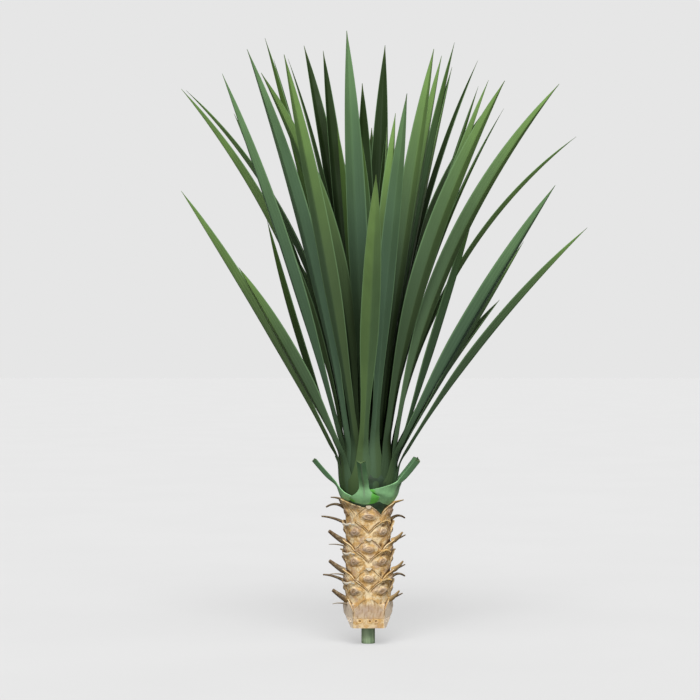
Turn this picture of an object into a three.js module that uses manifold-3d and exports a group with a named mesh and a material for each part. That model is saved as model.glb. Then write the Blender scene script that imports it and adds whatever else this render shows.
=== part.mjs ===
// Moulded yucca: a head of keeled leaves in a green heart, on a short scaly trunk over a planting post.
// Sizes are in millimetres and turns in degrees. Z is up and the trunk stands on the Z axis.
// Turn 0 faces the front, which is -Y, and turns grow towards +X.
import * as THREE from "three";
import { mergeVertices } from "three/addons/utils/BufferGeometryUtils.js";
import Module from "manifold-3d";

const GAP = 0.3;

// Planting post, which runs up through the trunk into the heart
const POST_RADIUS = 10;
const POST_TOP = 232;
const POST_SIDES = 24;

// Trunk: upper and lower rows of scales by turns, the lower ones turned by half a scale
const SCALES_PER_ROW = 5;
const ROW_PITCH = 21.5;
const SCALE_HEIGHT = 2 * ROW_PITCH;
const LOWER_ROW_DROP = 14.5;
const CORE_RADIUS = 31;
const SCALE_SINK = 5;
const RIM_RADIUS = 33.6;
const BOSS_RADIUS = 37;
const SCALE_MARGIN = 0.96;
const RIM_SHARE = 0.92;
const BOSS_SHARE = 0.34;
const UPPER_ROW_TURN = 1;
const LOWER_ROW_TURN = UPPER_ROW_TURN + 180 / SCALES_PER_ROW;
const COLLAR_TIP = 195;
const COLLAR_TOP = 198;
const TRUNK_SIDES = 36;

// Foot: a five-sided block under the lowest ring, with a flat panel under each upper scale
const FOOT_BOTTOM = 24;
const FOOT_TOP = 52;
const FOOT_PANEL_RADIUS = 34.8;
const FOOT_PANEL_BEVEL = 1.5;
const FOOT_PANEL_BOTTOM = 32;

// Bevels that narrow the foot at its sides and back: the turn that each faces, and how far from the axis
// it is at the foot's bottom and top
const FOOT_BEVELS = [
  { turn: -89, bottom: 24.5, top: 35.2 },
  { turn: 91, bottom: 24.5, top: 35.2 },
  { turn: 181, bottom: 24, top: 33.3 },
];

// Spurs: the dried leaf ends that stand out of the scale tips. Rising ones are thick and arched ones thin.
const SPUR_ROOT_RADIUS = 32;
const SPUR_ROOT_DROP = 5;
const SPUR_REACH = 60;
const SPUR_CUT_REACH = 43;
const SPUR_CUT_FACING = 0.5;
const SPUR_SPREAD = 5;
const SPUR_SHUFFLE = 5;
const SPUR_BEND = 0.55;
const RISING_SPUR = { bend: -4, tip: 12, width: 9, thick: 3.8 };
const TOP_SPUR = { bend: -2, tip: 17, width: 10, thick: 3.8 };
const ARCHED_SPUR = { bend: 10, tip: 9, width: 6.5, thick: 3 };
const SPUR_TIP_WIDTH = 2.4;
const SPUR_TIP_THICK = 1.4;
const SPUR_STEPS = 4;
const SPUR_SIDES = 4;

// Heart: radius and rise up its outline, from the collar to the growing tip
const HEART_OUTLINE = [
  [31, 0], [41, 17], [46, 32], [48, 45], [46, 57], [42, 72],
  [36, 86], [31, 101], [25, 114], [18, 125], [8, 134],
];
const HEART_TIP_RISE = 3;
const HEART_SIDES = 32;

// Cut leaves round the heart's foot
const CUT_TURNS = [-80, -8, 64, 116, 176, -146];
const CUT_ROOT = [22, 216];
const CUT_BEND = [46, 228];
const CUT_END = [81, 271];
const CUT_ROOT_WIDTH = 34;
const CUT_END_WIDTH = 13;
const CUT_THICK = 7;
const CUT_STEPS = 4;
const CUT_SIDES = 6;

// Leaves: share of the full width at the foot, where the blade begins to swell and is widest, and how it ends
const LEAF_WIDTH = 29;
const LEAF_FOOT_SHARE = 0.42;
const LEAF_SWELL_FROM = 0.1;
const LEAF_WIDEST = 0.48;
const LEAF_TAPER_POWER = 2.5;
const LEAF_TIP_WIDTH = 0.8;
const LEAF_LENGTH_TO_KEEL = 95;
const LEAF_KEEL_SHARE = 0.3;
const LEAF_ROLL = 20;
const LEAF_ROLLED_BY = 0.4;
const LEAF_STEPS = 14;
const LEAF_TAPER_FROM = 0.7;
const LEAF_TIP_KEEL_SHARE = 0.22;

// Seats: the widest leaning leaf sits lowest on the heart, the most upright one highest
const LEAN_CENTRE = 225;
const LEAN_MOST = 38;
const SEAT_OUTER = [38, 252];
const SEAT_INNER = [4, 330];
const BOW_INNER = 0.02;
const BOW_OUTER = 0.07;

// One row a leaf: its turn, the reach of its tip from the axis and the height of its tip.
// A leaf that strays from the rule has its own bow, roll or width, its own seat from 0, the highest,
// to 1, the lowest, or a drift, by which its foot is shifted sideways.
const LEAVES = [
  // Left
  { turn: -84, reach: 275, top: 664, bow: 0.038, seat: 0.95 },
  { turn: -53, reach: 230, top: 548, bow: 0.045, width: 25 },
  { turn: -91, reach: 276, top: 817, bow: 0.15, seat: 0.74 },
  { turn: -113, reach: 301, top: 828, bow: 0.21 },
  { turn: -72, reach: 222, top: 830, bow: 0.033, seat: 0.8 },
  { turn: -134, reach: 290, top: 802 },
  { turn: -44, reach: 218, top: 820, bow: 0.2, seat: 0.56 },
  { turn: -53, reach: 216, top: 857, bow: 0.075, seat: 0.8 },
  { turn: -94, reach: 153, top: 893, seat: 0.45 },
  { turn: -115, reach: 156, top: 868, seat: 0.25 },
  { turn: -28, reach: 250, top: 837, bow: 0.05, seat: 0.75, width: 26 },
  { turn: -133, reach: 166, top: 876, bow: 0.105, seat: 0.58, width: 15 },
  { turn: -157, reach: 255, top: 913, bow: 0.1 },
  { turn: -153, reach: 150, top: 891, bow: 0.01, seat: 0.2 },
  { turn: -104, reach: 155, top: 625, bow: -0.03, seat: 0.9 },
  // Middle
  { turn: -13, reach: 140, top: 882 },
  { turn: -162, reach: 28, top: 828 },
  { turn: 169, reach: 142, top: 900, seat: 0.36 },
  { turn: 123, reach: 34, top: 766 },
  { turn: 60, reach: 46, top: 778 },
  { turn: 16, reach: 190, top: 788, bow: 0.06, seat: 0.6, width: 25 },
  { turn: 2, reach: 246, top: 670, bow: 0.08, width: 27, drift: -10 },
  // Right
  { turn: 40, reach: 144, top: 860 },
  { turn: 64, reach: 118, top: 858 },
  { turn: 94, reach: 128, top: 886, seat: 0.22 },
  { turn: 124, reach: 154, top: 860, seat: 0.25 },
  { turn: 134, reach: 238, top: 880, bow: 0.105, width: 18 },
  { turn: 111, reach: 178, top: 828, seat: 0.38 },
  { turn: 87, reach: 177, top: 828, bow: 0.05 },
  { turn: 145, reach: 318, top: 806, bow: 0.17, seat: 0.75 },
  { turn: 52, reach: 242, top: 810, bow: 0.13, seat: 0.7, roll: 35 },
  { turn: 114, reach: 226, top: 798, bow: 0.11, seat: 0.65, width: 17 },
  { turn: 74, reach: 285, top: 814, bow: 0.16, seat: 0.95, roll: 45, width: 27 },
  { turn: 111, reach: 342, top: 758, bow: 0.21, width: 24 },
  { turn: 95, reach: 162, top: 654, bow: 0, seat: 0.95 },
  { turn: 60, reach: 302, top: 663, bow: 0.04, roll: 22, width: 27 },
  { turn: 121, reach: 281, top: 599, bow: 0.02 },
  { turn: 133, reach: 283, top: 510 },
  { turn: 84, reach: 321, top: 610, bow: 0.075, width: 24 },
  // Rear and inside
  { turn: -178, reach: 262, top: 690 },
  { turn: -158, reach: 284, top: 640 },
  { turn: 158, reach: 290, top: 620 },
  { turn: -147, reach: 195, top: 570 },
  { turn: 178, reach: 206, top: 780 },
  { turn: 156, reach: 205, top: 800 },
  { turn: -12, reach: 50, top: 740 },
  { turn: -84, reach: 46, top: 760 },
  { turn: 170, reach: 290, top: 540 },
  { turn: -171, reach: 238, top: 735 },
];

const COLOURS = {
  leaf: { color: 0x4d7a45, roughness: 0.55, metalness: 0 },
  heart: { color: 0x507855, roughness: 0.6, metalness: 0 },
  trunk: { color: 0xc8a56e, roughness: 0.85, metalness: 0 },
  post: { color: 0x5f825f, roughness: 0.6, metalness: 0 },
};

const wasm = await Module();
wasm.setup();

const radians = THREE.MathUtils.degToRad;
const mix = THREE.MathUtils.lerp;

// The point at a turn round the axis, a distance from it and a height
function place(turn, radius, height) {
  return new THREE.Vector3(radius * Math.sin(turn), -radius * Math.cos(turn), height);
}

// A closed tube whose unit section goes where `spot(side, out, along)` says
function shapedTube(sides, steps, spot) {
  const tube = new THREE.CylinderGeometry(1, 1, 1, sides, steps);
  const points = tube.attributes.position;
  for (let i = 0; i < points.count; i++) {
    const at = spot(points.getX(i), points.getZ(i), points.getY(i) + 0.5);
    points.setXYZ(i, at.x, at.y, at.z);
  }
  return tube;
}

// A tube that follows a curve of radius and height at one turn, with its own width and depth along the way
function limb(turn, curve, steps, sides, section) {
  const across = new THREE.Vector3(Math.cos(turn), Math.sin(turn), 0);
  return shapedTube(sides, steps, (side, out, along) => {
    const at = curve.getPoint(along);
    const way = curve.getTangent(along);
    const outward = place(turn, way.y, -way.x);
    const [sideways, outwards] = section(side, out, along);
    return place(turn, at.x, at.y).addScaledVector(across, sideways).addScaledVector(outward, outwards);
  });
}

// A solid for joining and cutting, from a geometry's triangles
function solidOf(geometry) {
  const bare = new THREE.BufferGeometry();
  bare.setAttribute("position", geometry.attributes.position);
  bare.setIndex(geometry.index);
  const welded = mergeVertices(bare, 1e-4);
  const corners = [];
  const index = welded.index.array;
  for (let i = 0; i < index.length; i += 3) {
    const [a, b, c] = [index[i], index[i + 1], index[i + 2]];
    if (a !== b && b !== c && c !== a) corners.push(a, b, c);
  }
  return new wasm.Manifold(
    new wasm.Mesh({
      numProp: 3,
      vertProperties: new Float32Array(welded.attributes.position.array),
      triVerts: new Uint32Array(corners),
    }),
  );
}

// The geometry of a solid
function geometryOf(solid) {
  const mesh = solid.getMesh();
  const geometry = new THREE.BufferGeometry();
  geometry.setAttribute("position", new THREE.BufferAttribute(new Float32Array(mesh.vertProperties), 3));
  geometry.setIndex([...mesh.triVerts]);
  geometry.computeVertexNormals();
  return geometry;
}

// A turned solid from an outline of radius and height, closed on itself or on the axis
function turned(outline, sides) {
  const points = outline.map(([radius, height]) => new THREE.Vector2(radius, height));
  const lathe = new THREE.LatheGeometry(points, sides);
  lathe.rotateX(Math.PI / 2);
  return solidOf(lathe);
}

// A ring round the post from one height to another
function ringRound(inner, outer, bottom, top, sides) {
  return turned([[inner, bottom], [outer, bottom], [outer, top], [inner, top], [inner, bottom]], sides);
}

// One scale: a four-cornered plate sunk in the core, with a boss, its tip up
function scalePlate(turn, tip, rimRadius, bossRadius) {
  const halfTurn = radians(180 / SCALES_PER_ROW) * SCALE_MARGIN;
  const halfHeight = ROW_PITCH * SCALE_MARGIN;
  const layers = [
    [CORE_RADIUS - SCALE_SINK, 1],
    [rimRadius, RIM_SHARE],
    [bossRadius, BOSS_SHARE],
  ];
  return solidOf(
    shapedTube(4, 2, (side, up, along) => {
      const [radius, share] = layers[Math.round(along * 2)];
      return place(turn - side * halfTurn * share, radius, tip - ROW_PITCH + up * halfHeight * share);
    }),
  );
}

// One spur: a strap that leaves a scale's tip and bends as its kind does
function spur(turn, tip, reach, kind) {
  const share = (reach - SPUR_ROOT_RADIUS) / (SPUR_REACH - SPUR_ROOT_RADIUS);
  const curve = new THREE.QuadraticBezierCurve(
    new THREE.Vector2(SPUR_ROOT_RADIUS, tip - SPUR_ROOT_DROP),
    new THREE.Vector2(mix(SPUR_ROOT_RADIUS, reach, SPUR_BEND), tip + kind.bend * share),
    new THREE.Vector2(reach, tip + kind.tip * share),
  );
  return solidOf(
    limb(turn, curve, SPUR_STEPS, SPUR_SIDES, (side, out, along) => [
      (side * mix(kind.width, SPUR_TIP_WIDTH, along)) / 2,
      (out * mix(kind.thick, SPUR_TIP_THICK, along)) / 2,
    ]),
  );
}

// The turns of a row's scales
function rowTurns(firstTurn) {
  return Array.from({ length: SCALES_PER_ROW }, (_, i) => radians(firstTurn + (360 / SCALES_PER_ROW) * i));
}

// A row of scales
function scaleRow(firstTurn, tip, rimRadius, bossRadius) {
  return wasm.Manifold.union(rowTurns(firstTurn).map((turn) => scalePlate(turn, tip, rimRadius, bossRadius)));
}

// A row of spurs. Those that face the front are cut short.
function spurRow(firstTurn, tip, kind) {
  const spurs = rowTurns(firstTurn).map((turn, i) => {
    const cut = Math.cos(turn) > SPUR_CUT_FACING;
    const reach = cut ? SPUR_CUT_REACH : SPUR_REACH + SPUR_SPREAD * Math.sin(SPUR_SHUFFLE * i + tip);
    return spur(turn, tip, reach, kind);
  });
  return wasm.Manifold.union(spurs);
}

// The height at which the core of a ring ends below the tips of its upper scales
function coreTopUnder(tip) {
  return tip - ROW_PITCH / 2 - GAP / 2;
}

// A ring of the trunk: a core with an upper and a lower row of scales that reach past it over its neighbours
function scaleRing(tip, top, upperKind) {
  const bottom = coreTopUnder(tip - SCALE_HEIGHT) + GAP;
  const lowerTip = tip - LOWER_ROW_DROP;
  const rows = wasm.Manifold.union([
    scaleRow(UPPER_ROW_TURN, tip, RIM_RADIUS, BOSS_RADIUS),
    spurRow(UPPER_ROW_TURN, tip, upperKind),
    scaleRow(LOWER_ROW_TURN, lowerTip, RIM_RADIUS, BOSS_RADIUS),
    spurRow(LOWER_ROW_TURN, lowerTip, ARCHED_SPUR),
  ]);
  const clearOfCore = CORE_RADIUS + GAP;
  const above = ringRound(POST_RADIUS, clearOfCore, top, top + SCALE_HEIGHT, TRUNK_SIDES);
  const below = ringRound(POST_RADIUS, clearOfCore, bottom - SCALE_HEIGHT, bottom, TRUNK_SIDES);
  const core = ringRound(POST_RADIUS + GAP, CORE_RADIUS, bottom, top, TRUNK_SIDES);
  return rows.subtract(above).subtract(below).add(core);
}

// What a bevel leaves of the foot
function bevelled(solid, { turn, bottom, top }) {
  const inwards = place(radians(turn), FOOT_BOTTOM - FOOT_TOP, top - bottom).normalize();
  const edge = place(radians(turn), bottom, FOOT_BOTTOM);
  return solid.trimByPlane(inwards.toArray(), inwards.dot(edge));
}

// The foot: a bevelled block with flat panels and their spurs, which rise between the lowest scales
function trunkFoot(panelTip) {
  const top = coreTopUnder(panelTip);
  const halfTurn = 180 / SCALES_PER_ROW;
  const corner = CORE_RADIUS / Math.cos(radians(halfTurn));
  const blockOutline = [[0, FOOT_BOTTOM], [corner, FOOT_BOTTOM], [corner, FOOT_TOP], [0, FOOT_TOP]];
  const block = turned(blockOutline, SCALES_PER_ROW).rotate([0, 0, UPPER_ROW_TURN - halfTurn]);
  const panelRim = FOOT_PANEL_RADIUS - FOOT_PANEL_BEVEL;
  const panels = scaleRow(UPPER_ROW_TURN, panelTip, panelRim, FOOT_PANEL_RADIUS);
  const below = ringRound(POST_RADIUS, 2 * FOOT_PANEL_RADIUS, 0, FOOT_PANEL_BOTTOM, TRUNK_SIDES);
  const sides = FOOT_BEVELS.reduce(bevelled, block.add(panels.subtract(below)));
  const above = ringRound(POST_RADIUS, CORE_RADIUS + GAP, top, top + SCALE_HEIGHT, TRUNK_SIDES);
  const core = ringRound(POST_RADIUS + GAP, CORE_RADIUS, FOOT_TOP, top, TRUNK_SIDES);
  const bore = turned([[0, 0], [POST_RADIUS + GAP, 0], [POST_RADIUS + GAP, top], [0, top]], TRUNK_SIDES);
  const spurs = spurRow(UPPER_ROW_TURN, panelTip, RISING_SPUR);
  return sides.add(spurs).subtract(above).subtract(bore).add(core);
}

// The heart's outline as radius and height, grown by a clearance
function heartOutline(bottom, grown) {
  return HEART_OUTLINE.map(([radius, rise]) => [radius + grown, bottom + rise + (rise > 0 ? grown : -grown)]);
}

// The heart: a turned core with a ring of cut leaves, hollow below for the post
function leafHeart(bottom) {
  const bore = POST_RADIUS + GAP;
  const outline = heartOutline(bottom, 0);
  const top = outline.at(-1)[1] + HEART_TIP_RISE;
  const hollowTop = POST_TOP + GAP;
  const core = turned(
    [[bore, bottom], ...outline, [0, top], [0, hollowTop], [bore, hollowTop], [bore, bottom]],
    HEART_SIDES,
  );
  const curve = new THREE.QuadraticBezierCurve(
    new THREE.Vector2(...CUT_ROOT),
    new THREE.Vector2(...CUT_BEND),
    new THREE.Vector2(...CUT_END),
  );
  const cuts = CUT_TURNS.map((turn) =>
    solidOf(
      limb(radians(turn), curve, CUT_STEPS, CUT_SIDES, (side, out, along) => [
        (side * mix(CUT_ROOT_WIDTH, CUT_END_WIDTH, Math.sqrt(along))) / 2,
        (out * CUT_THICK) / 2,
      ]),
    ),
  );
  return wasm.Manifold.union([core, ...cuts]);
}

// What the leaves keep clear of: the heart without its hollow, grown by the gap
function heartClearance(bottom) {
  const outline = heartOutline(bottom, GAP);
  const top = outline.at(-1)[1] + HEART_TIP_RISE;
  return turned([[0, bottom - GAP], ...outline, [0, top]], HEART_SIDES);
}

// Share of a leaf's full width at a share of its length
function bladeShare(along) {
  if (along < LEAF_WIDEST) {
    return mix(LEAF_FOOT_SHARE, 1, THREE.MathUtils.smoothstep(along, LEAF_SWELL_FROM, LEAF_WIDEST));
  }
  const past = (along - LEAF_WIDEST) / (1 - LEAF_WIDEST);
  return 1 - past ** LEAF_TAPER_POWER;
}

// The line of a leaf's keel as radius and height, from its seat in the heart to its tip
function leafCurve({ reach, top, bow, seat: share }) {
  const lean = THREE.MathUtils.radToDeg(Math.atan2(reach, top - LEAN_CENTRE));
  const outer = share ?? Math.min(lean / LEAN_MOST, 1);
  const seat = new THREE.Vector2(
    mix(SEAT_INNER[0], SEAT_OUTER[0], Math.sqrt(outer)),
    mix(SEAT_INNER[1], SEAT_OUTER[1], outer),
  );
  const tip = new THREE.Vector2(reach, top);
  const chord = tip.clone().sub(seat);
  const sag = bow ?? mix(BOW_INNER, BOW_OUTER, outer);
  const bend = seat.clone().lerp(tip, 0.5);
  bend.x -= sag * chord.y;
  bend.y += sag * chord.x;
  return new THREE.QuadraticBezierCurve(seat, bend, tip);
}

// One leaf: a three-sided blade, flat inside and keeled outside, that tapers to its tip
function leafSolid(leaf) {
  const curve = leafCurve(leaf);
  const leastKeel = curve.getLength() / LEAF_LENGTH_TO_KEEL;
  const edge = Math.sqrt(3) / 2;
  const roll = radians(leaf.roll ?? LEAF_ROLL * Math.sin(radians(leaf.turn)));
  const fullWidth = leaf.width ?? LEAF_WIDTH;
  const footDrift = leaf.drift ?? 0;
  return solidOf(
    limb(radians(leaf.turn), curve, LEAF_STEPS, 3, (side, out, along) => {
      const width = Math.max(fullWidth * bladeShare(along), LEAF_TIP_WIDTH);
      const taper = THREE.MathUtils.smoothstep(along, LEAF_TAPER_FROM, 1);
      const sideways = (side / edge) * (width / 2);
      const keel = Math.max(leastKeel, width * LEAF_KEEL_SHARE) * mix(1, LEAF_TIP_KEEL_SHARE, taper);
      const outwards = out * (2 / 3) * keel;
      const turnBy = roll * THREE.MathUtils.smoothstep(along, 0, LEAF_ROLLED_BY);
      const drift = footDrift * (1 - along) ** 2;
      return [
        sideways * Math.cos(turnBy) - outwards * Math.sin(turnBy) + drift,
        sideways * Math.sin(turnBy) + outwards * Math.cos(turnBy),
      ];
    }),
  );
}

const group = new THREE.Group();

// Puts a solid in the group as a named mesh
function addPiece(name, solid, look) {
  const mesh = new THREE.Mesh(geometryOf(solid), new THREE.MeshStandardMaterial(COLOURS[look]));
  mesh.material.name = look;
  mesh.name = name;
  group.add(mesh);
}

const postOutline = [[0, 0], [POST_RADIUS, 0], [POST_RADIUS, POST_TOP], [0, POST_TOP]];
addPiece("planting_post", turned(postOutline, POST_SIDES), "post");

const upperTip = COLLAR_TIP - SCALE_HEIGHT;
const lowerTip = upperTip - SCALE_HEIGHT;
addPiece("trunk_foot", trunkFoot(lowerTip - SCALE_HEIGHT), "trunk");
addPiece("scale_ring_lower", scaleRing(lowerTip, coreTopUnder(lowerTip), RISING_SPUR), "trunk");
addPiece("scale_ring_upper", scaleRing(upperTip, coreTopUnder(upperTip), RISING_SPUR), "trunk");
addPiece("crown_collar", scaleRing(COLLAR_TIP, COLLAR_TOP, TOP_SPUR), "trunk");

const heartBottom = COLLAR_TOP + GAP;
addPiece("leaf_heart", leafHeart(heartBottom), "heart");

const clearance = heartClearance(heartBottom);
LEAVES.forEach((leaf, i) => {
  addPiece(`leaf_${String(i + 1).padStart(2, "0")}`, leafSolid(leaf).subtract(clearance), "leaf");
});

export default group;
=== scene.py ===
"""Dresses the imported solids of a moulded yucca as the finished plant, on a pale studio floor.

Sizes are in millimetres and turns in degrees, and meshes become metres when they are made. Z is up.
Turn 0 faces the front, which is -Y, and turns grow towards +X.
"""

import logging
import math
from dataclasses import dataclass
from enum import Enum

import bpy
import numpy as np
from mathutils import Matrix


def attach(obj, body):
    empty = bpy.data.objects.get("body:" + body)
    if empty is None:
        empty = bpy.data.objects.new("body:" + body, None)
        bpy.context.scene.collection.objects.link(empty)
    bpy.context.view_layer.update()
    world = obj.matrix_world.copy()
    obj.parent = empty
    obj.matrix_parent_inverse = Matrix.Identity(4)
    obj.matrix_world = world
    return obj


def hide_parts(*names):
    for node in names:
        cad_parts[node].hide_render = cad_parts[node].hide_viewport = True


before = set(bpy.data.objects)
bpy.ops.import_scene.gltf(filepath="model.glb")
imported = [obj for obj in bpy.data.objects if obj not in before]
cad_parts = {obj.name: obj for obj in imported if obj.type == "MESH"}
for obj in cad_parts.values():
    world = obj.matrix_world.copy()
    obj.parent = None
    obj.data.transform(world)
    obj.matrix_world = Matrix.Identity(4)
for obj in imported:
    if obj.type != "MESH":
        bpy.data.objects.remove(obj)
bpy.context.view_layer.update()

MM = 0.001
SEED = 20
BODY = "root"
SHARP_FROM = math.radians(48)
log = logging.getLogger("yucca")

UP = np.array([0.0, 0.0, 1.0])
Array = np.ndarray
Number = float | Array
Pair = tuple[float, float]
Triple = tuple[float, float, float]
Quad = tuple[float, float, float, float]
Tree = bpy.types.NodeTree
Socket = bpy.types.NodeSocket
Key = str | int


# Numbers and curves

def mix(start: Number, end: Number, share: Number) -> Number:
    """Goes from start to end as share goes from 0 to 1."""
    return start + (end - start) * share


def smoothstep(value: Number, low: float, high: float) -> Number:
    """Rises smoothly from 0 at low to 1 at high."""
    share = np.clip((value - low) / (high - low), 0.0, 1.0)
    return share * share * (3.0 - 2.0 * share)


def fade(value: Number, low: float, high: float) -> Number:
    """Falls smoothly from 1 at low to 0 at high."""
    return 1 - smoothstep(value, low, high)


def hill(distance: Number, width: float) -> Number:
    """Falls smoothly from 1 at no distance towards 0 past width."""
    return np.exp(-np.square(distance / width))


def band(value: Number, at: float, width: float) -> Number:
    """Falls smoothly from 1 at a place towards 0 past a width to either side of it."""
    return hill(value - at, width)


def spots(across: Array, up: Array, rows: tuple[Quad, ...]) -> Array:
    """Gives oval spots, each 1 in its middle, from rows of where it is, its half width and its half height."""
    ovals = [np.hypot((across - x) / wide, (up - y) / tall) for x, y, wide, tall in rows]
    return hill(np.minimum.reduce(ovals), 1.0)


def place(turn: Number, radius: Number, height: Number) -> Array:
    """Gives the point at a turn in radians round the axis, a distance from it and a height."""
    spots = np.broadcast_arrays(radius * np.sin(turn), -radius * np.cos(turn), height)
    return np.stack(spots, axis=-1)


def quadratic(start: Array, bend: Array, end: Array, share: Array) -> Array:
    """Gives points, at shares from 0 to 1, of a curve that leaves start towards bend and reaches end."""
    t = share[:, None]
    return start * (1 - t) ** 2 + 2 * bend * t * (1 - t) + end * t * t


def unit(ways: Array) -> Array:
    """Gives each row a length of 1."""
    return ways / np.linalg.norm(ways, axis=1, keepdims=True)


def directions(line: Array) -> Array:
    """Gives the unit direction of a line of points at each point."""
    return unit(np.gradient(line, axis=0))


def climbs(line: Array) -> Array:
    """Gives how far along a line of points each point is."""
    return np.concatenate([[0.0], np.cumsum(np.linalg.norm(np.diff(line, axis=0), axis=1))])


def pick(line: Array, climb: Array, wanted: Array) -> Array:
    """Gives the points at wanted distances along a line whose own points are at the distances of climb."""
    return np.stack([np.interp(wanted, climb, axis) for axis in line.T], axis=1)


def soften(line: Array, reach: float, step: float = 1.5) -> tuple[Array, Array]:
    """Rounds off the bends of a line.

    Args:
        line: Its points.
        reach: How far along the line each point is blended with its neighbours.
        step: Distance between the new points.

    Returns:
        Evenly spaced points, and how far along the line each of them is.
    """
    climb = climbs(line)
    even = np.linspace(0.0, climb[-1], int(climb[-1] / step))
    points = pick(line, climb, even)
    span = int(2 * reach / step)
    weights = hill(np.arange(-span, span + 1) * step, reach)
    padded = np.pad(points, ((span, span), (0, 0)), mode="reflect", reflect_type="odd")
    blended = [np.convolve(axis, weights / weights.sum(), mode="valid") for axis in padded.T]
    return np.stack(blended, axis=1), even


def round_turns(count: int) -> Array:
    """Gives evenly spaced turns right round, in radians, as one row."""
    return np.linspace(-math.pi, math.pi, count, endpoint=False)[None, :]


def column(count: int) -> Array:
    """Gives evenly spaced shares from 0 to 1, as one column."""
    return np.linspace(0.0, 1.0, count)[:, None]


def crowded(count: int) -> Array:
    """Gives places from -1 to 1, closer together towards both ends, as one row."""
    return np.sin(np.linspace(-1.0, 1.0, count) * math.pi / 2)[None, :]


@dataclass(frozen=True)
class Wave:
    """A sine over a surface: its height, how fast it runs across and up, and how much a phase shifts it."""

    height: float
    across: float = 0.0
    up: float = 0.0
    shift: float = 0.0

    def at(self, across: Number, up: Number = 0.0, phase: float = 0.0) -> Number:
        """Gives its level at places across and up."""
        return self.height * np.sin(across * self.across + up * self.up + phase * self.shift)


# Finishes

# What a cloudy pattern mostly lies between, and the numbers of the colour mix's sockets, which share their names
CLOUD_RANGE = (0.3, 0.7)
MIX_UNDER, MIX_OVER, MIX_COLOUR = 6, 7, 2


def linear(colour: str) -> Quad:
    """Turns an sRGB colour to linear light.

    Args:
        colour: Its six hex digits.

    Returns:
        Red, green, blue and full cover.
    """
    shares = [int(colour[i:i + 2], 16) / 255 for i in (0, 2, 4)]
    lit = [s / 12.92 if s <= 0.04045 else ((s + 0.055) / 1.055) ** 2.4 for s in shares]
    return (*lit, 1.0)


def add_node(
    tree: Tree, kind: str, settings: dict[Key, object], links: dict[Key, Socket], output: Key = 0
) -> Socket:
    """Adds a node with its settings and links.

    Args:
        tree: The node tree that it goes in.
        kind: The node's type name, after the ShaderNode that it starts with.
        settings: Values by the name of a property, or by the name or number of an input.
        links: Sockets that feed its inputs, by the input's name or number.
        output: Name or number of the output that is wanted.

    Returns:
        That output.
    """
    node = tree.nodes.new(f"ShaderNode{kind}")
    for key, value in settings.items():
        if isinstance(key, str) and hasattr(node, key):
            setattr(node, key, value)
        else:
            node.inputs[key].default_value = value
    for key, source in links.items():
        tree.links.new(source, node.inputs[key])
    return node.outputs[output]


@dataclass(frozen=True)
class Cloud:
    """A cloudy pattern: the width of its clouds, how fine it gets in them, and how tall and frayed they are."""

    size: float
    detail: float = 2.0
    taller: float = 1.0
    fray: float = 0.6

    def value(self, tree: Tree) -> Socket:
        """Adds the pattern to a material.

        Args:
            tree: The material's nodes.

        Returns:
            The socket of the pattern, about 0.5 on the whole.
        """
        where = add_node(tree, "TexCoord", {}, {}, "Object")
        pitch = 1 / (self.size * MM)
        settings = {"operation": "MULTIPLY", 1: (pitch, pitch, pitch / self.taller)}
        scaled = add_node(tree, "VectorMath", settings, {0: where})
        settings = {"Scale": 1.0, "Detail": self.detail, "Roughness": self.fray}
        return add_node(tree, "TexNoise", settings, {"Vector": scaled}, "Fac")


@dataclass(frozen=True)
class Veins:
    """Lines that run along a blade, so many of them across it."""

    count: float

    def value(self, tree: Tree) -> Socket:
        """Adds the pattern to a material.

        Args:
            tree: The material's nodes.

        Returns:
            The socket of the pattern, from -1 to 1.
        """
        across = add_node(tree, "Attribute", {"attribute_name": "across"}, {}, "Fac")
        spread = add_node(tree, "Math", {"operation": "MULTIPLY", 1: math.pi * self.count}, {0: across})
        return add_node(tree, "Math", {"operation": "SINE"}, {0: spread})


@dataclass(frozen=True)
class Coat:
    """A colour over what is below it, where a mark of the mesh or a pattern goes from low to high."""

    colour: str
    where: str | Cloud
    low: float
    high: float
    start: float
    end: float

    def lay(self, tree: Tree, under: Socket | str) -> Socket:
        """Lays the coat.

        Args:
            tree: The material's nodes.
            under: The colour below, from another coat or as sRGB hex.

        Returns:
            The socket of the new colour.
        """
        if isinstance(self.where, str):
            value = add_node(tree, "Attribute", {"attribute_name": self.where}, {}, "Fac")
        else:
            value = self.where.value(tree)
        settings = {"interpolation_type": "SMOOTHSTEP", 1: self.low, 2: self.high, 3: self.start, 4: self.end}
        links = {0: add_node(tree, "MapRange", settings, {0: value})}
        settings = {"data_type": "RGBA", MIX_OVER: linear(self.colour)}
        if isinstance(under, str):
            settings[MIX_UNDER] = linear(under)
        else:
            links[MIX_UNDER] = under
        return add_node(tree, "Mix", settings, links, MIX_COLOUR)


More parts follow.
